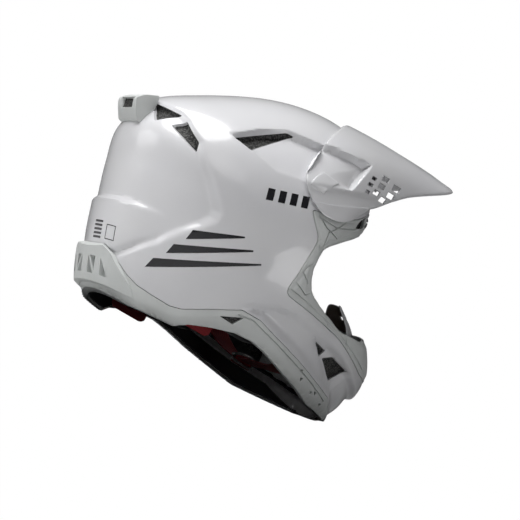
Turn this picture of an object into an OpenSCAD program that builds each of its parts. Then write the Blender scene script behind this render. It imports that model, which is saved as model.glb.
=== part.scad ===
// Motocross helmet with peak, built up from its separate pieces.
// X points to the wearer's left, the face looks towards -Y, Z is up.
// Z = 0 is the plane the helmet rests on: chin in front, edge trim behind.

/* [Shell] */
// Overall width of the outer shell over the ears.
shell_w = 250; // [230:1:265]
// Wall thickness of the outer shell.
shell_t = 3.4; // [2.5:0.1:4]
// Gap kept between neighbouring pieces.
gap = 0.4; // [0.3:0.05:0.8]

/* [Head space] */
// Half width of the hollow in the impact liner.
head_rx = 86; // [80:0.5:88]
// Half length of the hollow in the impact liner.
head_ry = 104; // [98:0.5:106]
// Half height of the hollow in the impact liner.
head_rz = 91; // [86:0.5:93]
// Thickness of the padded cloth liner.
pad_t = 11; // [8:0.5:14]

/* [Peak] */
// Thickness of the peak moulding.
peak_t = 2.6; // [2:0.1:4]

/* [Chin strap] */
// Width of the chin strap webbing.
strap_w = 20; // [18:0.5:25]
// Thickness of the chin strap webbing.
strap_t = 1.8; // [1.4:0.1:2.4]
// Wire thickness of the two D-rings.
ring_wire = 3; // [2.5:0.1:4]

/* [Display] */
// Which piece to draw, or all of them.

/* [Hidden] */

half_w = shell_w / 2;
side_centre = [5, 125];
profile_steps = 2;
ring_steps = 20;

// Median outline of the shell as points [y, z]: brow, crown, nape, a closing curve
// under the neck opening, chin, and a closing curve across the eyeport.
crown_points = [[-76, 192], [-69, 218], [-50, 243], [-20, 257], [20, 256], [66, 242.5],
    [121, 214], [160, 187], [176, 155]];
nape_points = [[170, 118], [160, 82], [148, 44], [128, 0]];
under_points = [[75, -70], [-5, -95], [-90, -70]];
chin_points = [[-148, -2], [-162, 24], [-165, 52], [-134, 92]];
face_points = [[-100, 118], [-84, 155]];
profile = concat(crown_points, nape_points, under_points, chin_points, face_points);

// Where the edge trim ends at the top, from the chin backwards.
seam_points = [[-135, 0], [-109, 16], [-76, 21], [-35, 29], [-5, 35], [15, 40], [35, 40],
    [58, 28], [79, 16], [88, 14], [104, 16], [116, 18.5], [125, 23], [137, 33]];
// The lower rim, from the chin backwards; it is flat at both ends and arched between.
rim_points = [[-85, 0], [-60, 6], [-32, 12], [-8, 18], [10, 21], [27, 20], [49, 14],
    [67, 7], [76, 0], [110, 0], [128, 4]];
// Outer edge of the eyeport trim, from the brow round the ear side to the chin.
trim_points = [[-96, 206], [-60, 189], [-30, 168], [-5, 157], [22, 151], [3, 130], [6, 91],
    [8, 76], [4, 72], [-32, 69], [-74, 65], [-130, 52], [-190, 52], [-190, 206]];
// The eyeport opening itself, in the same order.
port_points = [[-95, 182], [-80, 178], [-62, 168], [-51, 160], [-28, 144], [-11, 130],
    [-6, 122], [-6, 106], [-10, 95], [-17, 85], [-37, 78], [-70, 71], [-105, 76],
    [-134, 91.5], [-200, 91.5], [-200, 182]];

// ---------- curves and surfaces ----------

function between(a, b, c, d, t) =
    0.5 * (2 * b + (c - a) * t + (2 * a - 5 * b + 4 * c - d) * t * t
        + (3 * b - a - 3 * c + d) * t * t * t);

function smooth_loop(list, steps) = [
    for (i = [0 : len(list) - 1], k = [0 : steps - 1])
        let (n = len(list))
        between(list[(i + n - 1) % n], list[i], list[(i + 1) % n], list[(i + 2) % n], k / steps)
];

function smooth_path(list, t) =
    let (n = len(list) - 1, i = min(floor(t * n), n - 1))
    between(list[max(i - 1, 0)], list[i], list[i + 1], list[min(i + 2, n)], t * n - i);

outline = smooth_loop(profile, profile_steps);

// How strongly a direction of the side view belongs to the face, 0 to 1.
function face_weight(angle) =
    let (away = angle < 0 ? angle + 170 : angle - 190)
    exp(-pow(away / 55, 2));

// One point of the shell surface moved inwards by depth: i runs round the side
// view, j runs from the left side (0) over the middle to the right side.
function shell_point(i, j, depth) =
    let (
        ray = outline[i] - side_centre,
        reach = norm(ray) - depth,
        weight = face_weight(atan2(ray[1], ray[0])),
        a = 2.15 - 0.55 * weight,
        b = 2.15 - 0.45 * weight,
        turn = 180 * j / ring_steps,
        q = pow(sin(turn), 2 / a) * reach / norm(ray),
        x = (half_w - depth) * sign(cos(turn)) * pow(abs(cos(turn)), 2 / b)
    )
    [x, side_centre[0] + ray[0] * q, side_centre[1] + ray[1] * q];

// Solid bounded by the shell surface moved inwards by depth.
module form(depth) {
    n = len(outline);
    m = ring_steps;
    last = 1 + n * (m - 1);
    points = concat(
        [[half_w - depth, side_centre[0], side_centre[1]]],
        [for (j = [1 : m - 1], i = [0 : n - 1]) shell_point(i, j, depth)],
        [[depth - half_w, side_centre[0], side_centre[1]]]
    );
    faces = concat(
        [for (i = [0 : n - 1]) [0, 1 + i, 1 + (i + 1) % n]],
        [for (j = [0 : m - 3], i = [0 : n - 1])
            let (a = 1 + j * n + i, b = 1 + j * n + (i + 1) % n)
            each [[b + n, b, a], [a + n, b + n, a]]],
        [for (i = [0 : n - 1]) [last, 1 + (m - 2) * n + (i + 1) % n, 1 + (m - 2) * n + i]]
    );
    polyhedron(points, faces);
}

// Layer of the helmet wall between two depths.
module layer(outer, inner) {
    difference() {
        form(outer);
        form(inner);
    }
}

// Marks a piece that is one moulding of facets.
module moulded() {
    resize([0, 0, 0]) children();
}

// Prism through the side view: points are [y, z], x runs between the two ends.
module side_prism(points, from = -200, to = 200) {
    translate([from, 0, 0]) rotate([90, 0, 90]) linear_extrude(to - from) polygon(points);
}

// Prism through the rear view: points are [x, z], y runs between the two ends.
module rear_prism(points, from, to) {
    translate([0, to, 0]) rotate([90, 0, 0]) linear_extrude(to - from) polygon(points);
}

module both_sides() {
    children();
    mirror([1, 0, 0]) children();
}

// Prisms widened or narrowed all round by grow.
module side_prism_grown(points, grow, from = -200, to = 200) {
    translate([from, 0, 0]) rotate([90, 0, 90]) linear_extrude(to - from)
        offset(delta = grow) polygon(points);
}

module rear_prism_grown(points, grow, from, to) {
    translate([0, to, 0]) rotate([90, 0, 0]) linear_extrude(to - from)
        offset(delta = grow) polygon(points);
}

// ---------- regions shared by several pieces ----------

side_vent = [[105, 177], [64, 206], [56, 207], [92, 174]];
brow_vent = [[-31, 160], [-36, 170], [-52, 184], [-66, 187], [-60, 176], [-46, 166]];
chin_vent_small = [[-55, 51], [-70, 50], [-66, 44]];
chin_vent_large = [[-74, 43], [-86, 49], [-110, 46], [-97, 32]];
rear_vent_upper = [[10, 180], [52, 175], [36, 164]];
rear_vent_lower = [[56, 163], [63, 170], [81, 156], [82, 149], [66, 158]];
exhaust_window = [[-15, 176.5], [15, 176.5], [12, 167], [-12, 167]];
chin_window = [[-20, 44], [20, 44], [14, 24], [-14, 24]];
rim_band = concat(rim_points, [[200, 4], [200, 33]],
    [for (i = [0 : len(seam_points) - 1]) seam_points[len(seam_points) - 1 - i]]);
// The shell's chin end stays flat at Z = 0; behind it the shell stops a gap above the trim.
below_seam = concat([[-200, -gap], [-135 - 1.6 * gap, -gap]],
    [for (i = [1 : len(seam_points) - 1]) seam_points[i]],
    [[200, 33], [200, -200], [-200, -200]]);
below_rim = concat([[-200, 0]], rim_points, [[200, 4], [200, -200], [-200, -200]]);
crown_region = [[-7, 131], [10, 119], [66, 119], [68, 45], [78, 20], [84, 18], [104, 20],
    [116, 22], [124, 27], [136, 37],
    [200, 37], [200, 300], [-140, 300], [-140, 180], [-95, 184.5],
    [-80, 180.5], [-62, 170.5], [-51, 162.5], [-28, 146.5]];
cheek_region = [[-8, 128], [8, 117.6], [64.6, 117.6], [66.6, 45], [52, 40], [35, 48], [15, 48],
    [-5, 43], [-35, 37], [-76, 29], [-109, 24], [-170, 8], [-170, 84], [-136, 84],
    [-106, 73.5], [-70, 68.5], [-38, 75.5], [-19, 82.5], [-12.5, 94], [-8.5, 105], [-8.5, 121]];

module vent_openings() {
    both_sides() {
        side_prism(side_vent, 40, 200);
        side_prism(chin_vent_small, 40, 200);
        side_prism(chin_vent_large, 40, 200);
        rear_prism(rear_vent_upper, 100, 220);
        rear_prism(rear_vent_lower, 100, 220);
    }
    rear_prism(exhaust_window, 120, 220);
    rear_prism(chin_window, -220, -100);
}

module head_space(shrink) {
    translate([0, 33, 130])
        scale([head_rx - shrink, head_ry - shrink, head_rz - shrink])
            sphere(1, $fn = 32);
}

module neck_space(shrink) {
    translate([0, 33, -20])
        scale([head_rx - shrink, 84 - shrink, 1])
            cylinder(r = 1, h = 150, $fn = 32);
}

// ---------- pieces fixed to the shell ----------

module outer_shell() {
    color("white") moulded() difference() {
        form(0);
        form(shell_t);
        side_prism_grown(below_seam, gap);
        side_prism_grown(trim_points, gap);
        vent_openings();
        both_sides() pivot_rod(3.4, 100, 140);
    }
}

module crown_impact_liner() {
    color("dimgray") moulded() intersection() {
        difference() {
            form(shell_t + 1.8);
            head_space(0);
            neck_space(0);
            vent_openings();
            both_sides() pivot_rod(4, 105, 140);
        }
        side_prism(crown_region);
    }
}

module cheek_impact_liner() {
    color("dimgray") moulded() intersection() {
        difference() {
            form(shell_t + 1.8);
            form(19);
            vent_openings();
            both_sides() strap_pin(4);
        }
        side_prism(cheek_region);
    }
}

module slip_liner() {
    color("gold") moulded() intersection() {
        difference() {
            head_space(0.8);
            head_space(1.8);
        }
        side_prism([[-20, 150], [10, 126], [200, 126], [200, 300], [-140, 300], [-140, 200],
            [-60, 184], [-44, 168]]);
    }
}

module comfort_liner() {
    color("black") moulded() intersection() {
        difference() {
            head_space(2.8);
            head_space(2.8 + pad_t);
        }
        side_prism([[-14, 150], [14, 128], [190, 128], [200, 300], [-140, 300], [-140, 204],
            [-58, 188], [-42, 172]]);
    }
}

module neck_roll() {
    color("black") moulded() intersection() {
        difference() {
            neck_space(1.2);
            neck_space(14);
        }
        translate([-100, 74, 25]) cube([200, 60, 41]);
    }
}

module chin_inner_pad() {
    color("silver") moulded() intersection() {
        layer(19.8, 26);
        side_prism([[-170, 14], [-112, 22], [-92, 28], [-92, 62], [-112, 64], [-170, 60]]);
    }
}

module eyeport_trim() {
    color("gainsboro") moulded() difference() {
        intersection() {
            layer(-1.2, shell_t);
            side_prism(trim_points);
        }
        side_prism(port_points);
        both_sides() side_prism(brow_vent, 40, 200);
        rear_prism(chin_window, -220, -100);
    }
}

module base_trim() {
    color("gainsboro") moulded() intersection() {
        layer(0, 9);
        side_prism(rim_band);
    }
}

guard_front = [[-36, 78], [-24, 92], [-11, 109], [-6, 111], [6, 111], [11, 109], [24, 92],
    [36, 78], [28, 55], [-28, 55]];

module nose_guard() {
    color("white") moulded() intersection() {
        layer(-6, -1.6);
        rear_prism(guard_front, -220, -90);
    }
}

module nose_guard_liner() {
    color("saddlebrown") moulded() intersection() {
        layer(-1.2, 2.4);
        rear_prism([[-22, 92.5], [-10, 108], [-6, 110], [6, 110], [10, 108], [22, 92.5]], -220, -90);
    }
}

// Wire mesh set behind openings, between shell and impact liner.
module mesh_layer() {
    layer(shell_t + 0.3, shell_t + 1.4);
}

module brow_vent_mesh() {
    color("dimgray") moulded() intersection() {
        mesh_layer();
        both_sides() side_prism_grown(brow_vent, 2, 30, 200);
    }
}

module side_vent_mesh() {
    color("dimgray") moulded() intersection() {
        mesh_layer();
        both_sides() side_prism_grown(side_vent, 2, 30, 200);
    }
}

module rear_vent_mesh() {
    color("dimgray") moulded() intersection() {
        mesh_layer();
        both_sides() {
            rear_prism_grown(rear_vent_upper, 2, 100, 220);
            rear_prism_grown(rear_vent_lower, 2, 100, 220);
        }
    }
}

module chin_side_mesh() {
    color("dimgray") moulded() intersection() {
        mesh_layer();
        both_sides() {
            side_prism_grown(chin_vent_small, 1.5, 30, 200);
            side_prism_grown(chin_vent_large, 1.5, 30, 200);
        }
    }
}

module chin_vent_frame() {
    color("gainsboro") moulded() intersection() {
        layer(-1.4, shell_t);
        difference() {
            rear_prism_grown(chin_window, -gap, -220, -90);
            rear_prism_grown(chin_window, -3, -220, -90);
        }
    }
}

module chin_vent_mesh() {
    color("dimgray") moulded() intersection() {
        mesh_layer();
        rear_prism_grown(chin_window, 1.5, -220, -90);
    }
}

spoiler_back = [[-58, 4], [-58, 22], [-38, 46], [38, 46], [58, 22], [58, 4]];
spoiler_side = [[100, 44], [141, 44], [151, 32], [139, 8], [100, 6]];

// Triangular exhaust openings, alternately upright and inverted.
module spoiler_windows() {
    both_sides() for (k = [0 : 2])
        rear_prism(k % 2 == 0
            ? [[7 + 11 * k, 14], [18 + 11 * k, 14], [7 + 11 * k, 29]]
            : [[20 + 11 * (k - 1), 16], [20 + 11 * (k - 1), 29], [10 + 11 * (k - 1), 29]], 100, 200);
}

module rear_spoiler() {
    color("gainsboro") moulded() difference() {
        intersection() {
            layer(-6.5, -1.6);
            side_prism(spoiler_side, -58, 58);
            rear_prism(spoiler_back, 90, 200);
        }
        spoiler_windows();
    }
}

module rear_spoiler_mesh() {
    color("dimgray") moulded() intersection() {
        layer(-1.3, -0.4);
        side_prism([[100, 31], [160, 31], [160, 11], [100, 11]], -42, 42);
    }
}

module rear_top_exhaust() {
    color("gainsboro") moulded() difference() {
        side_prism([[160, 156], [174, 157], [181, 168], [184, 175], [178, 181.5], [164, 188]],
            -21, 21);
        form(-gap);
        rear_prism(exhaust_window, 120, 220);
    }
}

module rear_top_mesh() {
    color("dimgray") rear_prism_grown(exhaust_window, -0.2, 178, 179.2);
}

// Fork on the brow that holds the peak's centre fin and its bolt.
module peak_mount() {
    color("dimgray") moulded() difference() {
        side_prism([[-54, 222], [-70, 250], [-80, 254], [-87, 248], [-86, 238], [-74, 216]], -6, 6);
        form(-gap);
        translate([-2, -120, 180]) cube([4, 100, 100]);
        bolt_rod(2.2, -10, 10);
    }
}

bolt_at = [-79, 246];

module bolt_rod(r, from, to) {
    translate([from, bolt_at[0], bolt_at[1]]) rotate([0, 90, 0]) cylinder(r = r, h = to - from, $fn = 24);
}

strap_pin_at = [-20, 78];

module strap_pin(r, from = 87, to = 125) {
    translate([from, strap_pin_at[0], strap_pin_at[1]])
        rotate([0, 90, 0]) cylinder(r = r, h = to - from, $fn = 32);
}

module strap_anchor() {
    strap_pin(3, 86.8, 116);
    strap_pin(6, 86.6, 87.8);
    strap_pin(6, 93, 95);
}

module strap_anchor_left() {
    color("silver") strap_anchor();
}

module strap_anchor_right() {
    color("silver") mirror([1, 0, 0]) strap_anchor();
}

// ---------- peak, tilts about its side pins ----------

peak_pivot = [21, 178];
peak_rear = [[0, -25, 262], [35, -14, 258.5], [65, 5, 246.5], [99.5, 28, 216.5], [120, 42, 178.5],
    [126.5, 26, 157]];
peak_mid = [[0, -85, 266], [34, -74, 262.5], [61, -54, 251.5], [97, -20, 223.5], [120, 8, 188],
    [127, 8, 163]];
peak_front = [[0, -157, 267.5], [28, -152, 264], [53, -138, 252.5], [84, -81, 218], [108, -42, 186],
    [122, -15, 173]];
peak_across = 16;
peak_along = 8;

function peak_point(across, along) =
    let (
        side = across < 0 ? -1 : 1,
        v = abs(across),
        a = smooth_path(peak_rear, v),
        b = smooth_path(peak_mid, v),
        c = smooth_path(peak_front, v),
        p = a * (1 - along) * (1 - 2 * along) + b * 4 * along * (1 - along)
            + c * along * (2 * along - 1)
    )
    [side * p[0], p[1], p[2]];

function peak_normal(across, along) =
    let (
        e = 0.02,
        u = peak_point(min(across + e, 1), along) - peak_point(max(across - e, -1), along),
        w = peak_point(across, min(along + e, 1)) - peak_point(across, max(along - e, 0)),
        n = cross(u, w)
    )
    -n / norm(n);

module peak_sheet(out, in) {
    na = peak_across;
    nb = peak_along;
    row = nb + 1;
    count = (na + 1) * row;
    grid = [for (i = [0 : na], k = [0 : nb]) [2 * i / na - 1, k / nb]];
    points = concat(
        [for (g = grid) peak_point(g[0], g[1]) + out * peak_normal(g[0], g[1])],
        [for (g = grid) peak_point(g[0], g[1]) + in * peak_normal(g[0], g[1])]
    );
    function at(i, k) = i * row + k;
    top = [for (i = [0 : na - 1], k = [0 : nb - 1])
        each [[at(i + 1, k + 1), at(i, k + 1), at(i, k)], [at(i + 1, k), at(i + 1, k + 1), at(i, k)]]];
    under = [for (f = top) [f[2] + count, f[1] + count, f[0] + count]];
    ends = [for (i = [0 : na - 1]) each [
        [at(i, 0), at(i, 0) + count, at(i + 1, 0) + count, at(i + 1, 0)],
        [at(i + 1, nb), at(i + 1, nb) + count, at(i, nb) + count, at(i, nb)]]];
    sides = [for (k = [0 : nb - 1]) each [
        [at(0, k + 1), at(0, k + 1) + count, at(0, k) + count, at(0, k)],
        [at(na, k), at(na, k) + count, at(na, k + 1) + count, at(na, k + 1)]]];
    polyhedron(points, concat(top, under, ends, sides));
}

module peak() {
    color("white") moulded() difference() {
        peak_sheet(peak_t / 2, -peak_t / 2);
        both_sides() for (row = [0 : 1], k = [0 : 2])
            side_prism([for (c = [[0, 0], [6, 2], [5, 7], [-1, 5]])
                [-44 - 13 * k - c[0] - 3 * row, 196 + 8 * k + 11 * row + c[1]]], 30, 140);
    }
}

module pivot_rod(r, from, to) {
    translate([from, peak_pivot[0], peak_pivot[1]]) rotate([0, 90, 0]) cylinder(r = r, h = to - from, $fn = 32);
}

// Two ribs under the peak; the gap between them is an arc about the pivot, so the peak
// can tilt with its bolt between them.
module peak_fin() {
    color("white") moulded() difference() {
        side_prism([[-62, 280], [-66, 250], [-79, 226], [-92, 226], [-96, 240], [-98, 280]], -1.5, 1.5);
        peak_sheet(20, -peak_t / 2 - 0.05);
        translate([-5, peak_pivot[0], peak_pivot[1]]) rotate([90, 0, 90]) linear_extrude(10)
            polygon(fin_slot());
    }
}

// Arc about the pivot, wider than the bolt and long enough to part the two ribs.
function fin_slot() =
    let (
        arm = bolt_at - peak_pivot,
        level = atan2(arm[1], arm[0]),
        from = level - 24,
        to = level + 24,
        steps = 24
    )
    concat(
        [for (k = [0 : steps]) polar(norm(arm) + 2.9, from + (to - from) * k / steps)],
        [for (k = [0 : steps]) polar(norm(arm) - 2.9, to + (from - to) * k / steps)]
    );

function polar(r, angle) = r * [cos(angle), sin(angle)];

pin_end = 120.8;

module peak_side_pins() {
    color("dimgray") both_sides() pivot_rod(3, 112, pin_end);
}

module peak_bolt() {
    color("dimgray") {
        bolt_rod(2, -6.3, 6.3);
        bolt_rod(5, 6.3, 8.8);
        bolt_rod(4, -8.8, -6.3);
    }
}

// ---------- cheek pads, pull out downwards ----------

pad_side = [[-25, 98], [-27, 60], [-21, 32], [-6, 22], [36, 22], [48, 40], [54, 80], [50, 110],
    [0, 114], [-14, 110]];

module cheek_pad() {
    side_prism_grown(pad_side, 0, 60, 83);
    side_prism_grown(pad_side, -5, 54, 60);
    side_prism_grown(pad_side, -11, 50, 54);
}

module cheek_plate() {
    side_prism_grown(pad_side, -3, 83.3, 85.7);
}

module release_tab() {
    translate([72, 34, 8]) cube([1.6, 40, 13.5]);
}

module cheek_pad_left() {
    color("black") cheek_pad();
}

module cheek_plate_left() {
    color("dimgray") cheek_plate();
}

module release_tab_left() {
    color("red") release_tab();
}

module cheek_pad_right() {
    color("black") mirror([1, 0, 0]) cheek_pad();
}

module cheek_plate_right() {
    color("dimgray") mirror([1, 0, 0]) cheek_plate();
}

module release_tab_right() {
    color("red") mirror([1, 0, 0]) release_tab();
}

// ---------- chin strap, swings about its anchor pins ----------

strap_path = [[92, -24, 71], [90.6, -36, 56], [81, -48, 40], [62, -58, 28], [36, -64, 21], [0, -64, 21]];

function strap_at(t) = smooth_path(strap_path, t);

// Direction across the webbing: lies in the side view at the pin, level below the chin.
function strap_across(t) =
    let (
        ahead = strap_at(min(t + 0.02, 1)) - strap_at(max(t - 0.02, 0)),
        side = cross(ahead, [1 - t, 0, -t * t * 1.5]),
        flat = side / norm(side)
    )
    flat;

module webbing(from, to, stations) {
    points = [for (s = [0 : stations])
        let (
            t = from + (to - from) * s / stations,
            ahead = strap_at(min(t + 0.02, 1)) - strap_at(max(t - 0.02, 0)),
            across = strap_across(t),
            up = cross(ahead, across) / norm(cross(ahead, across)),
            c = strap_at(t)
        )
        each [c + across * strap_w / 2 + up * strap_t / 2, c - across * strap_w / 2 + up * strap_t / 2,
            c - across * strap_w / 2 - up * strap_t / 2, c + across * strap_w / 2 - up * strap_t / 2]];
    sides = [for (s = [0 : stations - 1], k = [0 : 3])
        let (a = 4 * s + k, b = 4 * s + (k + 1) % 4)
        each [[b + 4, b, a], [a + 4, b + 4, a]]];
    polyhedron(points, concat(sides, [[0, 1, 2, 3]], [[for (k = [3 : -1 : 0]) 4 * stations + k]]));
}

ring_at = [37, -64, 21];

module chin_strap_left() {
    color("red") {
        moulded() webbing(0, 0.745, 10);
        translate([ring_at[0] + 2.2, ring_at[1] - strap_w / 2 + 0.7, ring_at[2]]) rotate([-90, 0, 0])
            linear_extrude(strap_w - 1.4) difference() {
                square([7.4, 10.6], center = true);
                square([4.4, 7.6], center = true);
            }
    }
}

module chin_strap_right() {
    color("red") moulded() {
        mirror([1, 0, 0]) webbing(0, 1, 12);
        translate([-0.5, ring_at[1] - strap_w / 2, ring_at[2] - strap_t / 2]) cube([32, strap_w, strap_t]);
    }
}

module strap_hanger() {
    difference() {
        side_prism([[-31, 68], [-20, 62], [-9, 70], [-12, 84], [-20, 88], [-28, 84]], 88.2, 90.2);
        strap_pin(3.3, 80, 100);
    }
}

module strap_hanger_left() {
    color("silver") strap_hanger();
}

module strap_hanger_right() {
    color("silver") mirror([1, 0, 0]) strap_hanger();
}

// D-shaped wire ring: straight bar along Y, bow towards the middle of the helmet.
module d_ring(tilt) {
    r = ring_wire / 2;
    bow = 12;
    rotate([0, tilt, 0]) {
        rotate([90, 0, 0]) translate([0, 0, -bow]) cylinder(r = r, h = 2 * bow, $fn = 24);
        rotate([0, 0, 90]) rotate_extrude(angle = 180, $fn = 36) translate([bow, 0]) circle(r = r, $fn = 24);
    }
}

module d_ring_upper() {
    color("silver") translate([ring_at[0] + 2.2, ring_at[1], ring_at[2] + 1.9]) d_ring(14);
}

module d_ring_lower() {
    color("silver") translate([ring_at[0] + 2.2, ring_at[1], ring_at[2] - 1.9]) d_ring(-14);
}

outer_shell();
crown_impact_liner();
cheek_impact_liner();
slip_liner();
comfort_liner();
neck_roll();
chin_inner_pad();
eyeport_trim();
base_trim();
nose_guard();
nose_guard_liner();
brow_vent_mesh();
side_vent_mesh();
rear_vent_mesh();
chin_side_mesh();
chin_vent_frame();
chin_vent_mesh();
rear_spoiler();
rear_spoiler_mesh();
rear_top_exhaust();
rear_top_mesh();
peak_mount();
strap_anchor_left();
strap_anchor_right();
peak();
peak_fin();
peak_side_pins();
peak_bolt();
cheek_pad_left();
cheek_plate_left();
release_tab_left();
cheek_pad_right();
cheek_plate_right();
release_tab_right();
strap_hanger_left();
strap_hanger_right();
chin_strap_left();
chin_strap_right();
d_ring_upper();
d_ring_lower();
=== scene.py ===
"""Motocross helmet: the finished look, built over the CAD frame.

Helpers work in millimetres in the frame's own axes: X to the wearer's left, the face
towards -Y, Z up. Meshes are made in metres.
"""

import math

import bmesh
import bpy
import numpy as np
from mathutils import Matrix, Vector


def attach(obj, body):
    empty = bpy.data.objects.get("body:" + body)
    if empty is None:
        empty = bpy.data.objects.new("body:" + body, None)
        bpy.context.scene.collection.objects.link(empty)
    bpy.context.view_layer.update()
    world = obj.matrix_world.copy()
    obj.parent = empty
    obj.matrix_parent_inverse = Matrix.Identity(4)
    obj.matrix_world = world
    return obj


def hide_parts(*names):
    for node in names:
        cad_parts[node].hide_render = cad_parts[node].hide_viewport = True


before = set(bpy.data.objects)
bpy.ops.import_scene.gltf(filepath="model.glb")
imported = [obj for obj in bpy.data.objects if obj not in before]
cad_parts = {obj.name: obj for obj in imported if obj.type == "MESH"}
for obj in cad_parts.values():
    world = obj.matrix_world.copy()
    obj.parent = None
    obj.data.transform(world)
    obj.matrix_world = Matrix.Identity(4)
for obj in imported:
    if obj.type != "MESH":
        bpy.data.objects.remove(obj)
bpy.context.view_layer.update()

# ---------- driving sizes ----------

HALF_W = 125.0
WALL = 3.4
SIDE_CENTRE = np.array([5.0, 125.0])
FINE = (18, 220)
MEDIUM = (12, 150)
COARSE = (6, 80)

# Directions and reaches of the cutting prisms.
ACROSS = ("x", -200, 200)
REAR = ("y", 100, 240)
FRONT = ("y", -240, -90)
CHIN_FRONT = ("y", -240, -100)
EXHAUST_REAR = ("y", 120, 240)

# Head space and neck opening in the impact liner: half sizes, and their centre.
HEAD_HALF = (86, 104, 91)
HEAD_CENTRE = (0, 0.033, 0.130)
NECK_HALF = (86, 84)
NECK_CENTRE_Y = 33

# Median outline of the shell as [y, z]: brow, crown, nape, under the neck, chin, face.
PROFILE = np.array([
    [-76, 192], [-69, 218], [-50, 243], [-20, 257], [20, 256], [66, 242.5], [121, 214],
    [160, 187], [176, 155], [170, 118], [160, 82], [148, 44], [128, 0], [75, -70],
    [-5, -95], [-90, -70], [-148, -2], [-162, 24], [-165, 52], [-134, 92], [-100, 118],
    [-84, 155]], float)

# Side view [y, z] of the seams, from the chin backwards.
SEAM = [[-135, 0], [-109, 16], [-76, 21], [-35, 29], [-5, 35], [15, 40], [35, 40], [58, 28],
        [79, 16], [88, 14], [104, 16], [116, 18.5], [125, 23], [137, 33]]
RIM = [[-85, 0], [-60, 6], [-32, 12], [-8, 18], [10, 21], [27, 20], [49, 14], [67, 7],
       [76, 0], [110, 0], [128, 4]]
TRIM = [[-96, 206], [-60, 189], [-30, 168], [-5, 157], [22, 151], [3, 130], [6, 91], [8, 76],
        [4, 72], [-32, 69], [-74, 65], [-130, 52], [-190, 52], [-190, 206]]
PORT = [[-95, 182], [-80, 178], [-62, 168], [-51, 160], [-28, 144], [-11, 130], [-6, 122],
        [-6, 106], [-10, 95], [-17, 85], [-37, 78], [-70, 71], [-105, 76], [-134, 91.5],
        [-200, 91.5], [-200, 182]]

SIDE_VENT = [[108, 176], [61, 208], [53, 208], [92, 172]]
BROW_VENT_REAR = [[-31, 160], [-36, 170], [-45, 178], [-46, 166]]
BROW_VENT_FRONT = [[-50, 182], [-66, 187], [-60, 176], [-51, 169]]
CHIN_VENT_SMALL = [[-52, 52.5], [-71, 51], [-67, 42.5]]
CHIN_VENT_LARGE = [[-72.5, 43.5], [-85, 50.5], [-112, 47.5], [-98, 30.5]]
REAR_VENT_UPPER = [[9, 182], [55, 175.5], [36, 162]]
REAR_VENT_LOWER = [[54, 162.5], [63, 171.5], [82.5, 156.5], [83, 147], [66, 156.5]]
EXHAUST_WINDOW = [[-15, 176.5], [15, 176.5], [12, 167], [-12, 167]]
CHIN_WINDOW = [[-20, 44], [20, 44], [14, 24], [-14, 24]]
GUARD_FRONT = [[-36, 78], [-24, 92], [-11, 109], [-6, 111], [6, 111], [11, 109], [24, 92],
               [36, 78], [28, 55], [-28, 55]]

# Relief lines. The rear panel is in the rear view [x, z], the others in the side view.
REAR_PANEL = [[-30, 182], [10, 182], [53, 178], [66, 172], [84, 157], [98, 131], [105, 107],
              [104, 100], [99, 90], [75, 60], [54, 45], [38, 36], [-30, 34]]
CHANNEL_TOP = [[113, 178], [86, 199], [62, 211], [28, 215], [-22, 221], [-60, 226]]
CHANNEL_LOW = [[113, 178], [94, 173], [66, 166], [42, 171], [0, 178], [-60, 190]]
ARCH = [[64, 25], [55, 34], [33, 48], [5, 60], [-17, 64], [-58, 60], [-97, 53], [-129, 45],
        [-170, 34]]
CHIN_POCKET = [[-50, 53], [-90, 30], [-110, 27], [-120, 46], [-86, 54]]

# Side view of the two parts of the impact liner.
CROWN_REGION = [[-7, 131], [10, 119], [66, 119], [68, 45], [78, 20], [84, 18], [104, 20],
                [116, 22], [124, 27], [136, 37], [200, 37], [200, 300], [-140, 300],
                [-140, 180], [-95, 184.5], [-80, 180.5], [-62, 170.5], [-51, 162.5],
                [-28, 146.5]]
CHEEK_REGION = [[-8, 128], [8, 117.6], [64.6, 117.6], [66.6, 45], [52, 40], [35, 48], [15, 48],
                [-5, 43], [-35, 37], [-76, 29], [-109, 24], [-170, 8], [-170, 84], [-136, 84],
                [-106, 73.5], [-70, 68.5], [-38, 75.5], [-19, 82.5], [-12.5, 94], [-8.5, 105],
                [-8.5, 121]]


# ---------- plane geometry ----------

def between(a, b, c, d, t):
    """A smooth curve from b to c, with a and d as its neighbours."""
    return 0.5 * (2 * b + (c - a) * t + (2 * a - 5 * b + 4 * c - d) * t ** 2
                  + (3 * b - a - 3 * c + d) * t ** 3)


def smooth_loop(points, steps):
    p = np.asarray(points, float)
    t = (np.arange(steps) / steps)[None, :, None]
    parts = [np.roll(p, k, axis=0)[:, None, :] for k in (1, 0, -1, -2)]
    return between(*parts, t).reshape(-1, p.shape[1])


def smooth_path(points, t):
    p = np.asarray(points, float)
    last = len(p) - 1
    t = np.asarray(t, float)
    i = np.minimum((t * last).astype(int), last - 1)
    local = (t * last - i)[..., None]
    return between(p[np.maximum(i - 1, 0)], p[i], p[i + 1], p[np.minimum(i + 2, last)], local)


def rounded(points, radius, steps=4):
    """The closed polygon with each corner turned into a short curve."""
    p = np.asarray(points, float)
    made = []
    for k in range(len(p)):
        corner = p[k]
        back = p[k - 1] - corner
        ahead = p[(k + 1) % len(p)] - corner
        cut_back = min(radius / np.linalg.norm(back), 0.45)
        cut_ahead = min(radius / np.linalg.norm(ahead), 0.45)
        start = corner + back * cut_back
        end = corner + ahead * cut_ahead
        for s in np.linspace(0, 1, steps):
            made.append((1 - s) ** 2 * start + 2 * s * (1 - s) * corner + s ** 2 * end)
    return np.array(made)


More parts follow.
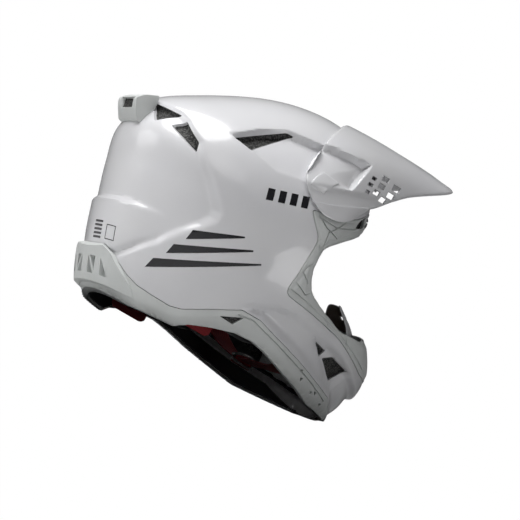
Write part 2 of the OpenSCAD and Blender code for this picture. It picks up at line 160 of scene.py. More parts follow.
def widened(points, grow):
    """The closed polygon with its sides moved outwards by grow."""
    p = np.asarray(points, float)
    area = np.sum(p[:, 0] * np.roll(p[:, 1], -1) - np.roll(p[:, 0], -1) * p[:, 1])
    made = []
    for k in range(len(p)):
        a = p[k] - p[k - 1]
        b = p[(k + 1) % len(p)] - p[k]
        na = np.array([a[1], -a[0]]) / np.linalg.norm(a) * np.sign(area)
        nb = np.array([b[1], -b[0]]) / np.linalg.norm(b) * np.sign(area)
        mitre = na + nb
        mitre = mitre / max(mitre @ mitre / 2, 0.35)
        made.append(p[k] + mitre * grow)
    return np.array(made)


def strip(path, width):
    """A band of the given width along an open path, as a closed polygon."""
    p = np.asarray(path, float)
    along = np.gradient(p, axis=0)
    across = np.stack([-along[:, 1], along[:, 0]], 1)
    across /= np.linalg.norm(across, axis=1)[:, None]
    return np.concatenate([p + across * width / 2, (p - across * width / 2)[::-1]])


def distance_to_path(points, path):
    best = np.full(len(points), 1e9)
    for a, b in zip(np.asarray(path[:-1], float), np.asarray(path[1:], float)):
        edge = b - a
        t = np.clip(((points - a) @ edge) / (edge @ edge), 0, 1)
        best = np.minimum(best, np.linalg.norm(points - a - t[:, None] * edge, axis=1))
    return best


def inside(points, polygon):
    p = np.asarray(polygon, float)
    hit = np.zeros(len(points), bool)
    for a, b in zip(p, np.roll(p, -1, axis=0)):
        crosses = (a[1] > points[:, 1]) != (b[1] > points[:, 1])
        slope = (b[0] - a[0]) / (b[1] - a[1] if b[1] != a[1] else 1e-9)
        hit ^= crosses & (points[:, 0] < a[0] + slope * (points[:, 1] - a[1]))
    return hit


def signed_distance(points, polygon):
    """Distance to a closed polygon's edge, negative inside it."""
    closed = list(polygon) + [polygon[0]]
    distance = distance_to_path(points, closed)
    return np.where(inside(points, polygon), -distance, distance)


def smooth_step(low, high, value):
    t = np.clip((value - low) / (high - low), 0, 1)
    return t * t * (3 - 2 * t)


# ---------- the shell surface ----------

def form_rows(depth, size):
    """Rows of points on the shell surface moved inwards by depth, left side to right side."""
    steps, turns = size
    ray = smooth_loop(PROFILE, steps) - SIDE_CENTRE
    length = np.linalg.norm(ray, axis=1)
    angle = np.degrees(np.arctan2(ray[:, 1], ray[:, 0]))
    weight = np.exp(-(np.where(angle < 0, angle + 170, angle - 190) / 55) ** 2)
    a = 2.15 - 0.55 * weight
    b = 2.15 - 0.45 * weight
    turn = (np.pi * np.arange(turns + 1) / turns)[:, None]
    q = np.sin(turn).clip(0, 1) ** (2 / a) * (length - depth) / length
    x = (HALF_W - depth) * np.sign(np.cos(turn)) * np.abs(np.cos(turn)) ** (2 / b)
    return np.stack([x, SIDE_CENTRE[0] + ray[:, 0] * q, SIDE_CENTRE[1] + ray[:, 1] * q], -1)


def outward(rows):
    """Unit normals of rows of surface points."""
    along = np.roll(rows, -1, axis=1) - np.roll(rows, 1, axis=1)
    across = np.gradient(rows, axis=0)
    normal = np.cross(along, across)
    size = np.linalg.norm(normal, axis=2, keepdims=True)
    normal = normal / np.maximum(size, 1e-9)
    middle = len(rows) // 2
    centre = np.array([0, *SIDE_CENTRE])
    if np.sum(normal[middle] * (rows[middle] - centre)) < 0:
        normal = -normal
    normal[0] = [1, 0, 0]
    normal[-1] = [-1, 0, 0]
    return normal


def form_points(depth, size, relief=None, gain=1.0):
    rows = form_rows(depth, size)
    if relief is not None:
        outer = form_rows(0, size)
        height = relief(outer.reshape(-1, 3)).reshape(outer.shape[:2])
        height[0] = height[0].mean()
        height[-1] = height[-1].mean()
        rows = rows + outward(outer) * height[..., None] * gain
    n = rows.shape[1]
    points = np.concatenate([rows[0][:1], rows[1:-1].reshape(-1, 3), rows[-1][:1]])
    return points, form_faces(n, len(rows) - 1)


def form_faces(n, turns):
    last = 1 + n * (turns - 1)
    ahead = [(i + 1) % n for i in range(n)]
    faces = [(0, 1 + ahead[i], 1 + i) for i in range(n)]
    for j in range(turns - 2):
        row = 1 + j * n
        faces += [(row + i, row + ahead[i], row + n + ahead[i], row + n + i) for i in range(n)]
    row = 1 + (turns - 2) * n
    faces += [(last, row + i, row + ahead[i]) for i in range(n)]
    return faces


def signed_volume(points, faces):
    total = 0.0
    for size in {len(face) for face in faces}:
        f = np.array([face for face in faces if len(face) == size])
        for k in range(1, size - 1):
            a, b, c = points[f[:, 0]], points[f[:, k]], points[f[:, k + 1]]
            total += np.sum(np.cross(a, b) * c)
    return total


def facing_out(points, faces):
    """The faces, turned over if they face inwards."""
    return [f[::-1] for f in faces] if signed_volume(points, faces) < 0 else faces


# ---------- relief of the shell and trims ----------

def side_view(p):
    return p[:, 1:3]


def rear_view(p):
    return np.stack([np.abs(p[:, 0]), p[:, 2]], 1)


def hollow(points, top, low, depth, bevel):
    """A hollow that is deepest at its top edge and runs out at its low edge."""
    region = list(top) + list(low)[::-1]
    from_top = distance_to_path(points, top)
    from_low = distance_to_path(points, low)
    fall = (from_low / (from_low + from_top + 1e-6)) ** 0.8
    height = -depth * smooth_step(0, bevel, from_top) * fall
    return np.where(inside(points, region), height, 0)


def shell_relief(p):
    side = side_view(p)
    back = rear_view(p)
    behind = smooth_step(40, 62, p[:, 1])
    panel = signed_distance(back, REAR_PANEL)
    height = -4.5 * smooth_step(3.5, -3.5, panel) * behind
    step = smooth_step(87, 82, p[:, 2]) * smooth_step(80, 45, back[:, 0])
    height += 4.2 * step * smooth_step(0, -6, panel) * behind
    height += hollow(side, CHANNEL_TOP, CHANNEL_LOW, 7.5, 3.0)
    height += arch_relief(side)
    pocket = signed_distance(side, CHIN_POCKET)
    height -= 2.6 * smooth_step(2.0, -2.0, pocket)
    return height


def arch_relief(side):
    front_seam = SEAM[:8]
    region = ARCH + [[-170, -40], [-135, -40]] + front_seam
    below = inside(side, region)
    from_arch = distance_to_path(side, ARCH)
    from_seam = distance_to_path(side, front_seam)
    height = -5.5 * smooth_step(0, 7, from_arch) * smooth_step(0, 9, from_seam)
    return np.where(below, height, 0)


def edge_fall(distance, width, drop):
    """Rounds a surface off towards an edge that is that distance away."""
    t = np.clip((width - distance) / width, 0, 1)
    return -drop * (1 - np.sqrt(np.clip(1 - t * t, 0, 1)))


def trim_relief(p):
    side = side_view(p)
    to_port = distance_to_path(side, PORT + [PORT[0]])
    to_edge = distance_to_path(side, TRIM + [TRIM[0]])
    ridge = 1.2 * smooth_step(4, 8, to_port) * smooth_step(3, 7, to_edge)
    return ridge + edge_fall(to_port, 3.5, 3.0) + edge_fall(to_edge, 1.5, 1.2)


def rim_relief(p):
    side = side_view(p)
    to_rim = distance_to_path(side, [[-150, 0]] + RIM)
    to_seam = distance_to_path(side, SEAM)
    swell = 0.8 * smooth_step(2, 8, to_rim) * smooth_step(1, 5, to_seam)
    return swell + edge_fall(to_rim, 4.5, 3.6) + edge_fall(to_seam, 1.0, 0.8)


def spoiler_relief(p):
    across = np.abs(p[:, 0])
    return -4.8 * smooth_step(36, 60, across)


# ---------- meshes ----------

def build(name, points, faces):
    mesh = bpy.data.meshes.new(name)
    mesh.from_pydata((np.asarray(points) / 1000).tolist(), [], faces)
    mesh.validate()
    piece = bpy.data.objects.new(name, mesh)
    bpy.context.scene.collection.objects.link(piece)
    return piece


def layer(name, outer, inner, size, relief=None, inner_gain=1.0):
    """A closed wall between two depths of the shell surface."""
    points, faces = form_points(outer, size, relief)
    faces = facing_out(points, faces)
    inner_points, inner_faces = form_points(inner, size, relief, inner_gain)
    if signed_volume(inner_points, inner_faces) > 0:
        inner_faces = [f[::-1] for f in inner_faces]
    shift = len(points)
    inner_faces = [tuple(i + shift for i in f) for f in inner_faces]
    return build(name, np.concatenate([points, inner_points]), faces + inner_faces)


def prisms(shapes):
    """One tool from several prisms. Each is (polygon, "x" or "y", from, to)."""
    points, faces = [], []
    for polygon, axis, low, high in shapes:
        p = np.asarray(polygon, float)
        n = len(p)
        start = len(points)
        for level in (low, high):
            for a, b in p:
                points.append((level, a, b) if axis == "x" else (a, level, b))
        faces.append(tuple(start + k for k in range(n)))
        faces.append(tuple(start + n + k for k in reversed(range(n))))
        for k in range(n):
            m = (k + 1) % n
            faces.append((start + k, start + n + k, start + n + m, start + m))
    tool = build("tool", np.array(points), faces)
    mesh = bmesh.new()
    mesh.from_mesh(tool.data)
    bmesh.ops.recalc_face_normals(mesh, faces=mesh.faces)
    mesh.to_mesh(tool.data)
    mesh.free()
    return tool


def on_both_sides(polygon, low=30, high=200):
    return [(polygon, "x", low, high), (polygon, "x", -high, -low)]


def mirrored_back(polygon, low=100, high=240):
    flipped = [[-x, z] for x, z in polygon]
    return [(polygon, "y", low, high), (flipped, "y", low, high)]


def settle(piece):
    """Makes the piece's modifiers part of its mesh."""
    graph = bpy.context.evaluated_depsgraph_get()
    mesh = bpy.data.meshes.new_from_object(piece.evaluated_get(graph))
    old = piece.data
    piece.modifiers.clear()
    piece.data = mesh
    bpy.data.meshes.remove(old)


def carve(piece, tool, how="DIFFERENCE", solver="MANIFOLD"):
    change = piece.modifiers.new("carve", "BOOLEAN")
    change.solver = solver
    change.operation = how
    change.object = tool
    settle(piece)
    used = tool.data
    bpy.data.objects.remove(tool)
    bpy.data.meshes.remove(used)
    return piece


def finish_mesh(piece, look, body, angle=35):
    piece.data.shade_smooth()
    piece.data.set_sharp_from_angle(angle=math.radians(angle))
    piece.data.materials.clear()
    piece.data.materials.append(look)
    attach(piece, body)
    return piece


def soften(piece, width, segments=2, angle=30):
    bevel = piece.modifiers.new("edges", "BEVEL")
    bevel.width = width / 1000
    bevel.segments = segments
    bevel.angle_limit = math.radians(angle)
    settle(piece)
    return piece


# ---------- looks ----------

class Look:
    """A procedural material that is put together one feature at a time."""

    def __init__(self, name, color, roughness, metallic=0.0, coat=0.0, sheen=0.0, edge=0.0):
        self.material = bpy.data.materials.new(name)
        self.material.use_nodes = True
        self.tree = self.material.node_tree
        self.shader = self.tree.nodes["Principled BSDF"]
        self.shader.inputs["Base Color"].default_value = (*color, 1)
        self.shader.inputs["Roughness"].default_value = roughness
        self.shader.inputs["Metallic"].default_value = metallic
        self.shader.inputs["Coat Weight"].default_value = coat
        self.shader.inputs["Coat Roughness"].default_value = 0.06
        self.shader.inputs["Sheen Weight"].default_value = sheen
        self.roughness = roughness
        place = self.add("ShaderNodeTexCoord")
        self.place = place.outputs["Object"]
        self.normal = None
        if edge:
            corner = self.add("ShaderNodeBevel")
            corner.samples = 4
            corner.inputs["Radius"].default_value = edge / 1000
            self.normal = corner.outputs["Normal"]
            self.tree.links.new(self.normal, self.shader.inputs["Normal"])

    def add(self, kind, **values):
        node = self.tree.nodes.new(kind)
        for name, value in values.items():
            node.inputs[name].default_value = value
        return node

    def noise(self, scale, detail=3.0, stretch=None):
        node = self.add("ShaderNodeTexNoise", Scale=scale, Detail=detail)
        self.tree.links.new(self.stretched(stretch), node.inputs["Vector"])
        return node.outputs["Fac"]

    def cells(self, scale, feature="F1", stretch=None):
        node = self.add("ShaderNodeTexVoronoi", Scale=scale)
        node.feature = feature
        self.tree.links.new(self.stretched(stretch), node.inputs["Vector"])
        return node.outputs["Distance"]

    def waves(self, scale, direction, distortion=0.0):
        node = self.add("ShaderNodeTexWave", Scale=scale, Distortion=distortion)
        node.bands_direction = direction
        self.tree.links.new(self.place, node.inputs["Vector"])
        return node.outputs["Fac"]

    def stretched(self, stretch):
        if stretch is None:
            return self.place
        node = self.add("ShaderNodeMapping", Scale=stretch)
        self.tree.links.new(self.place, node.inputs["Vector"])
        return node.outputs["Vector"]

    def math(self, operation, a, b):
        node = self.add("ShaderNodeMath")
        node.operation = operation
        for socket, value in zip(node.inputs, (a, b)):
            if isinstance(value, (int, float)):
                socket.default_value = value
            else:
                self.tree.links.new(value, socket)
        return node.outputs["Value"]

    def range(self, value, low, high, start=0.0, end=1.0):
        node = self.add("ShaderNodeMapRange", **{"From Min": start, "From Max": end,
                                                 "To Min": low, "To Max": high})
        self.tree.links.new(value, node.inputs["Value"])
        return node.outputs["Result"]

    def tint(self, value, dark, light, start=0.3, end=0.7):
        node = self.add("ShaderNodeValToRGB")
        node.color_ramp.elements[0].position = start
        node.color_ramp.elements[0].color = (*dark, 1)
        node.color_ramp.elements[1].position = end
        node.color_ramp.elements[1].color = (*light, 1)
        self.tree.links.new(value, node.inputs["Fac"])
        self.tree.links.new(node.outputs["Color"], self.shader.inputs["Base Color"])
        return self

    def gloss(self, value, spread):
        low = max(self.roughness - spread, 0.02)
        result = self.range(value, low, self.roughness + spread)
        self.tree.links.new(result, self.shader.inputs["Roughness"])
        return self

    def bump(self, value, height_mm, strength=1.0):
        node = self.add("ShaderNodeBump", Strength=strength, Distance=height_mm / 1000)
        self.tree.links.new(value, node.inputs["Height"])
        if self.normal is not None:
            self.tree.links.new(self.normal, node.inputs["Normal"])
        self.normal = node.outputs["Normal"]
        self.tree.links.new(self.normal, self.shader.inputs["Normal"])
        return self


def shade(color, factor):
    return tuple(min(c * factor, 1.0) for c in color)


def gloss_white(name):
    look = Look(name, (0.80, 0.80, 0.82), 0.22, coat=0.6, edge=0.9)
    drift = look.noise(14, 2)
    look.tint(drift, (0.775, 0.775, 0.80), (0.815, 0.815, 0.83))
    look.gloss(look.noise(60, 4), 0.05)
    look.bump(look.noise(420, 2), 0.012, 0.35)
    return look.material


def satin_trim():
    base = (0.66, 0.68, 0.67)
    look = Look("satin_light_grey_moulding", base, 0.46, edge=0.7)
    look.tint(look.noise(22, 4), shade(base, 0.93), shade(base, 1.06))
    look.gloss(look.noise(90, 3), 0.08)
    look.bump(look.noise(1500, 3), 0.05, 0.5)
    return look.material


def black_moulding():
    base = (0.022, 0.022, 0.023)
    look = Look("satin_black_moulding", base, 0.5, edge=0.5)
    look.tint(look.noise(30, 4), shade(base, 0.8), shade(base, 1.5))
    look.gloss(look.noise(120, 3), 0.1)
    look.bump(look.noise(1300, 2), 0.05, 0.5)
    return look.material


def wire_mesh():
    look = Look("dark_wire_mesh", (0.04, 0.04, 0.038), 0.5, metallic=0.3)
    holes = look.cells(620, "F1")
    look.tint(holes, (0.10, 0.10, 0.094), (0.010, 0.010, 0.010), 0.25, 0.62)
    look.bump(holes, 0.5, 1.0)
    look.gloss(look.noise(200, 2), 0.08)
    return look.material


def bead_foam():
    look = Look("black_bead_foam", (0.028, 0.028, 0.03), 0.75)
    beads = look.cells(330, "F1")
    look.tint(beads, (0.036, 0.036, 0.038), (0.014, 0.014, 0.015), 0.2, 0.7)
    look.bump(beads, 0.35, 0.7)
    look.gloss(look.noise(80, 2), 0.08)
    return look.material


def knitted_cloth():
    look = Look("black_knitted_cloth", (0.014, 0.014, 0.016), 0.85, sheen=0.25)
    knit = look.math("MULTIPLY", look.waves(520, "DIAGONAL"), look.waves(520, "Z", 0.6))
    look.tint(knit, (0.008, 0.008, 0.009), (0.028, 0.028, 0.031), 0.1, 0.8)
    look.bump(knit, 0.22, 0.8)
    look.bump(look.noise(45, 3), 0.5, 0.35)
    look.gloss(look.noise(150, 2), 0.06)
    return look.material


def woven_red(name):
    look = Look(name, (0.42, 0.012, 0.02), 0.62, sheen=0.15)
    weave = look.math("MULTIPLY", look.waves(420, "X", 0.4), look.waves(380, "DIAGONAL", 0.4))
    look.tint(weave, (0.24, 0.008, 0.012), (0.52, 0.02, 0.03), 0.1, 0.7)
    look.bump(weave, 0.25, 0.8)
    look.gloss(look.noise(120, 2), 0.08)
    return look.material


def grey_foam():
    look = Look("grey_foam", (0.42, 0.43, 0.44), 0.8)
    pores = look.cells(900, "F1")
    look.tint(pores, (0.34, 0.35, 0.36), (0.50, 0.51, 0.52), 0.1, 0.7)
    look.bump(pores, 0.25, 0.8)
    look.gloss(look.noise(60, 2), 0.06)
    return look.material


def brown_lining():
    look = Look("dark_brown_lining", (0.24, 0.20, 0.17), 0.6, edge=0.4)
    look.tint(look.noise(60, 4), (0.20, 0.165, 0.14), (0.29, 0.24, 0.21))
    look.bump(look.cells(900), 0.12, 0.6)
    look.gloss(look.noise(100, 2), 0.08)
    return look.material


def satin_steel():
    look = Look("satin_steel", (0.60, 0.60, 0.61), 0.28, metallic=1.0, edge=0.3)
    look.tint(look.noise(35, 4), (0.52, 0.52, 0.53), (0.66, 0.66, 0.67))
    scratches = look.noise(260, 3, (1, 1, 14))
    look.gloss(scratches, 0.1)
    look.bump(scratches, 0.02, 0.3)
    return look.material


def slip_sheet():
    look = Look("yellow_slip_sheet", (0.62, 0.47, 0.05), 0.35)
    look.tint(look.noise(20, 3), (0.56, 0.42, 0.04), (0.68, 0.52, 0.07))
    look.gloss(look.noise(90, 2), 0.08)
    look.bump(look.noise(500, 2), 0.05, 0.4)
    return look.material


def graphic_ink():
    look = Look("black_print", (0.008, 0.008, 0.011), 0.25, coat=0.6)
    look.tint(look.noise(40, 3), (0.006, 0.006, 0.009), (0.013, 0.013, 0.017))
    look.gloss(look.noise(90, 2), 0.05)
    look.bump(look.noise(420, 2), 0.012, 0.35)
    return look.material


PAINT = gloss_white("gloss_white_paint")
PLASTIC = gloss_white("gloss_white_plastic")
TRIM_GREY = satin_trim()
BLACK = black_moulding()
MESH = wire_mesh()
FOAM = bead_foam()
CLOTH = knitted_cloth()
RED = woven_red("red_webbing")
GREY_FOAM = grey_foam()
BROWN = brown_lining()
STEEL = satin_steel()
SLIP = slip_sheet()
INK = graphic_ink()


# ---------- helmet pieces ----------

def make_shell():
    piece = layer("shell_moulding", 0, WALL + 0.6, FINE, shell_relief, 1.15)
    under = [[-260, 0], [-135.6, 0]] + [[y, z + 0.5] for y, z in SEAM[1:]]
    under += [[260, 33.5], [260, -260], [-260, -260]]
    carve(piece, prisms([(under, *ACROSS)]))
    carve(piece, prisms([(rounded(widened(TRIM, 0.4), 5), *ACROSS)]))
    openings = on_both_sides(rounded(SIDE_VENT, 2.5))
    openings += on_both_sides(rounded(CHIN_VENT_SMALL, 1.5))
    openings += on_both_sides(rounded(CHIN_VENT_LARGE, 2))
    carve(piece, prisms(openings))
    openings = mirrored_back(rounded(REAR_VENT_UPPER, 2))
    openings += mirrored_back(rounded(REAR_VENT_LOWER, 2))
    openings += [(rounded(EXHAUST_WINDOW, 1.5), *EXHAUST_REAR)]
    openings += [(rounded(CHIN_WINDOW, 2), *CHIN_FRONT)]
    carve(piece, prisms(openings))
    finish_mesh(piece, PAINT, "helmet")
    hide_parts("outer_shell")


def make_liners():
    """Bead foam behind the shell, pressed in wherever the shell's relief goes in."""
    crown = layer("crown_foam", WALL + 1.8, 40, FINE, shell_relief, 0.0)
    carve(crown, prisms([(CROWN_REGION, *ACROSS)]), "INTERSECT")
    carve(crown, head_space())
    carve(crown, neck_tube())
    cheek = layer("cheek_foam", WALL + 1.8, 19, FINE, shell_relief, 0.0)
    carve(cheek, prisms([(CHEEK_REGION, *ACROSS)]), "INTERSECT")
    for piece, node in ((crown, "crown_impact_liner"), (cheek, "cheek_impact_liner")):
        openings = on_both_sides(SIDE_VENT) + on_both_sides(CHIN_VENT_SMALL)
        openings += on_both_sides(CHIN_VENT_LARGE)
        carve(piece, prisms(openings))
        openings = mirrored_back(REAR_VENT_UPPER) + mirrored_back(REAR_VENT_LOWER)
        openings += [(EXHAUST_WINDOW, *EXHAUST_REAR), (CHIN_WINDOW, *CHIN_FRONT)]
        carve(piece, prisms(openings))
        finish_mesh(piece, FOAM, "helmet")
        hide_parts(node)


def head_space():
    """The head space in the impact liner."""
    bpy.ops.mesh.primitive_uv_sphere_add(segments=96, ring_count=48, radius=0.001)
    ball = bpy.context.object
    size = Matrix.Diagonal((*HEAD_HALF, 1))
    ball.data.transform(Matrix.Translation(HEAD_CENTRE) @ size)
    return ball


def neck_tube():
    """The neck opening below the head space."""
    angle = np.linspace(0, 2 * np.pi, 96, endpoint=False)
    points, n = [], len(angle)
    for z in (-20, 130):
        for a in angle:
            points.append((NECK_HALF[0] * np.cos(a),
                           NECK_CENTRE_Y + NECK_HALF[1] * np.sin(a), z))
    faces = [tuple(range(n))[::-1], tuple(range(n, 2 * n))]
    faces += [(k, (k + 1) % n, n + (k + 1) % n, n + k) for k in range(n)]
    return build("tube", np.array(points), faces)


def make_meshes():
    """Wire mesh behind each group of vents, following the shell's relief."""
    groups = {
        "side_vent_screen": (on_both_sides(widened(SIDE_VENT, 3)), "side_vent_mesh"),
        "chin_side_screen": (on_both_sides(widened(CHIN_VENT_SMALL, 2))
                             + on_both_sides(widened(CHIN_VENT_LARGE, 2)), "chin_side_mesh"),
        "brow_vent_screen": (on_both_sides(widened(BROW_VENT_REAR, 2))
                             + on_both_sides(widened(BROW_VENT_FRONT, 2)), "brow_vent_mesh"),
        "rear_vent_screen": (mirrored_back(widened(REAR_VENT_UPPER, 3))
                             + mirrored_back(widened(REAR_VENT_LOWER, 3)),
                             "rear_vent_mesh"),
        "chin_front_screen": ([(widened(CHIN_WINDOW, -3.2), *CHIN_FRONT)], "chin_vent_mesh"),
    }
    for name, (shapes, node) in groups.items():
        outer = 0.9 if node == "chin_vent_mesh" else WALL - 0.5
        piece = layer(name, outer, outer + 0.9, FINE, shell_relief)
        carve(piece, prisms(shapes), "INTERSECT")
        finish_mesh(piece, MESH, "helmet")
        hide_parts(node)


def groove(piece, lines, width, surface, depth):
    """Cuts a shallow channel of that width and depth along each side view line."""
    tool = layer("groove", surface - 5, surface + depth, MEDIUM)
    shapes = []
    for line in lines:
        shapes += on_both_sides(strip(line, width))
    carve(tool, prisms(shapes), "INTERSECT")
    carve(piece, tool)


TRIM_GROOVES = [
    [[-84, 192], [-58, 178], [-30, 158], [-8, 148], [14, 148]],
    [[-20, 165], [-12, 152], [-2, 140], [-4, 126]],
    [[14, 150], [2, 143], [-14, 140]],
    [[1, 126], [-5, 118]],
    [[-5, 112], [1, 104], [3, 97], [-7, 90]],
    [[5, 86], [-10, 80], [-16, 86]],
    [[6, 78], [-30, 73.5], [-70, 68.5], [-128, 57]],
    [[-40, 77], [-52, 67]],
    [[-78, 71], [-92, 60]],
    [[-60, 184], [-52, 188]],
]


def make_eyeport_trim():
    piece = layer("eyeport_moulding", -1.0, WALL, FINE, trim_relief)
    carve(piece, prisms([(rounded(TRIM, 5), *ACROSS)]), "INTERSECT")
    carve(piece, prisms([(rounded(PORT, 4), *ACROSS)]))
    openings = on_both_sides(rounded(BROW_VENT_REAR, 2)) + on_both_sides(rounded(BROW_VENT_FRONT, 2))
    openings += [(rounded(CHIN_WINDOW, 2), *CHIN_FRONT)]
    carve(piece, prisms(openings))
    groove(piece, TRIM_GROOVES, 1.1, -2.0, 1.4)
    finish_mesh(piece, TRIM_GREY, "helmet")
    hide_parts("eyeport_trim")


RIM_GROOVE = [[36, 35], [22, 37], [5, 33], [-12, 29.5], [-40, 23.5], [-76, 16.5], [-104, 11.5]]


def make_base_trim():
    piece = layer("base_moulding", 0, 6.6, FINE, rim_relief, 0.0)
    band = [[-135, 0], [-85, 0]] + RIM[1:] + [[260, 4], [260, 33]] + SEAM[::-1]
    carve(piece, prisms([(band, *ACROSS)]), "INTERSECT")
    groove(piece, [RIM_GROOVE], 1.4, -0.4, 1.5)
    vent = rounded([[50, 26], [30, 35], [36, 25]], 1.0)
    pocket = layer("pocket", -5, 2.5, MEDIUM)
    cuts = on_both_sides(vent)
    for y, z in ((-52, 21.5), (-57, 15), (-78, 10), (-84, 12), (-101, 6.5)):
        cuts += on_both_sides([[y - 2.2, z + 1.8], [y + 1.6, z + 1.2], [y - 1.4, z - 1.6]])
    carve(pocket, prisms(cuts), "INTERSECT")
    carve(piece, pocket)
    finish_mesh(piece, TRIM_GREY, "helmet")
    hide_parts("base_trim")
    lining = layer("neck_edge_lining", 6.8, 9, MEDIUM)
    raised = [[-135, 3], [-85, 3]] + [[y, z + 3] for y, z in RIM[1:]] + [[260, 7], [260, 33]]
    carve(lining, prisms([(raised + SEAM[::-1], *ACROSS)]), "INTERSECT")
    finish_mesh(lining, BLACK, "helmet")
    screen = layer("base_vent_screen", 1.6, 2.4, COARSE)
    carve(screen, prisms(on_both_sides(widened(vent, -0.3))), "INTERSECT")
    finish_mesh(screen, MESH, "helmet")


def make_spoiler():
    side = [[100, 45], [147, 43], [156, 32], [142, 8], [100, 6]]
    piece = layer("rear_spoiler_moulding", -6.3, -0.6, FINE, spoiler_relief, 0.4)
    carve(piece, prisms([(rounded(side, 3), "x", -62, 62)]), "INTERSECT")
    back = [[-62, 5], [-60, 14], [-40, 36], [-20, 43], [20, 43], [40, 36], [60, 14], [62, 5]]
    carve(piece, prisms([(rounded(back, 4), "y", 90, 200)]), "INTERSECT")
    windows = []
    for k in range(3):
        left = 7 + 11 * k
        if k % 2 == 0:
            windows.append([[left, 14], [left + 11, 14], [left, 29]])
        else:
            windows.append([[left + 2, 16], [left + 2, 29], [left - 8, 29]])
    shapes = []
    for w in windows:
        shapes += mirrored_back(rounded(w, 1.2))
    carve(piece, prisms(shapes))
    finish_mesh(piece, TRIM_GREY, "helmet")
    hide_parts("rear_spoiler")


def make_rear_exhaust():
    side = [[160, 156], [174, 157], [181, 168], [184, 175], [178, 181.5], [164, 188]]
    piece = prisms([(rounded(side, 2.5), "x", -21, 21)])
    piece.name = "rear_exhaust_housing"
    inner = prisms([(rounded(widened(EXHAUST_WINDOW, 0.2), 1.5), *EXHAUST_REAR)])
    carve(piece, inner)
    core_points, core_faces = form_points(-0.2, MEDIUM, shell_relief)
    carve(piece, build("core", core_points, facing_out(core_points, core_faces)))
    soften(piece, 0.9, 3)
    finish_mesh(piece, TRIM_GREY, "helmet")
    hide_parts("rear_top_exhaust")


def guard_relief(p):
    """Folds the guard along its middle, towards the top."""
    return smooth_step(70, 92, p[:, 2]) * (3.5 - 0.5 * np.abs(p[:, 0]))


def make_nose_guard():
    piece = layer("nose_guard_moulding", -3.6, -1.2, FINE, guard_relief)
    carve(piece, prisms([(rounded(GUARD_FRONT, 5), *FRONT)]), "INTERSECT")
    slit = rounded([[-5, 104], [5, 104], [5, 101.5], [-5, 101.5]], 1)
    carve(piece, prisms([(slit, *FRONT)]))
    finish_mesh(piece, PLASTIC, "helmet")
    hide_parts("nose_guard")
    lining = layer("nose_guard_lining", -1.0, 0.6, MEDIUM, guard_relief)
    shape = [[-22, 92.5], [-10, 108], [-6, 110], [6, 110], [10, 108], [22, 92.5]]
    carve(lining, prisms([(rounded(shape, 4), *FRONT)]), "INTERSECT")
    carve(lining, prisms([(slit, *FRONT)]))
    finish_mesh(lining, BROWN, "helmet")
    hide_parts("nose_guard_liner")


def make_chin_frame():
    piece = layer("chin_vent_moulding", -0.2, WALL, FINE, shell_relief)
    carve(piece, prisms([(rounded(widened(CHIN_WINDOW, -0.4), 2), *FRONT)]), "INTERSECT")
    carve(piece, prisms([(rounded(widened(CHIN_WINDOW, -3), 2), *FRONT)]))
    finish_mesh(piece, TRIM_GREY, "helmet")
    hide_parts("chin_vent_frame")


def make_graphics():
    """Plain slanted bars printed on both sides, and two blank labels at the back."""
    shapes = []
    ahead = np.array([-0.86, 0.51])
    across = np.array([0.51, 0.86])
    for k in range(3):
        start = np.array([120.0, 36.0]) + across * 12.5 * k + ahead * 15 * k
        end = start + ahead * (92 - 22 * k)
        bar = [start, start + across * 8 + ahead * 6, end + across * 1.5, end]
        shapes += on_both_sides(bar, 60)
    for k in range(4):
        corner = np.array([66 - 11.0 * k, 137 + 3.4 * k])
        mark = [corner, corner + [-6.5, 2.0], corner + [-4.8, 13.0], corner + [1.7, 11.0]]
        shapes += on_both_sides(mark, 60)
    piece = layer("side_graphic", -0.12, 0.6, FINE, shell_relief)
    carve(piece, prisms(shapes), "INTERSECT")
    finish_mesh(piece, INK, "helmet")
    labels = [([[-34, 47], [-20, 47], [-20, 60], [-34, 60]], *REAR)]
    for z in (46.5, 50, 53.5, 57, 60.5):
        labels.append(([[-12, z], [4, z], [4, z + 1.9], [-12, z + 1.9]], *REAR))
    back = layer("rear_labels", -0.12, 0.6, FINE, shell_relief)
    carve(back, prisms(labels), "INTERSECT")
    inner = prisms([([[-33.3, 47.7], [-20.7, 47.7], [-20.7, 59.3], [-33.3, 59.3]], *REAR)])
    carve(back, inner)
    finish_mesh(back, INK, "helmet")


# ---------- peak ----------

PEAK_REAR = [[0, -25, 261.5], [35, -14, 258], [65, 5, 245.5], [98, 28, 215.5], [119, 42, 178],
             [126, 26, 157]]
PEAK_MID = [[0, -85, 266], [34, -74, 262.5], [61, -54, 251.5], [97, -20, 223.5], [120, 8, 188],
            [127, 8, 163]]
PEAK_FRONT = [[0, -157, 267.5], [28, -152, 264], [53, -138, 252.5], [84, -81, 218],
              [108, -42, 186], [122, -15, 173]]
PEAK_HOLLOW_TOP = [[29, 215], [-25, 222], [-8, 187]]
PEAK_HOLLOW_LOW = [[44, 170], [18, 177], [-8, 187]]


def peak_points(across, along):
    side = np.where(across < 0, -1.0, 1.0)
    v = np.abs(across)
    a, b, c = (smooth_path(row, v) for row in (PEAK_REAR, PEAK_MID, PEAK_FRONT))
    t = along[..., None]
    p = a * (1 - t) * (1 - 2 * t) + b * 4 * t * (1 - t) + c * t * (2 * t - 1)
    p[..., 0] *= side
    return p


def peak_relief(p):
    side = side_view(p)
    height = hollow(side, PEAK_HOLLOW_TOP, PEAK_HOLLOW_LOW, 7.6, 2.4)
    wide = np.abs(p[:, 0])
    fold = smooth_step(0, 5, (177 + (18 - side[:, 0]) * 0.38) - side[:, 1])
    height -= 2.0 * fold * smooth_step(80, 95, wide)
    top = smooth_step(30, 24, wide) * smooth_step(-150, -120, side[:, 0])
    height += 1.2 * top * smooth_step(-20, -45, side[:, 0])
    return height


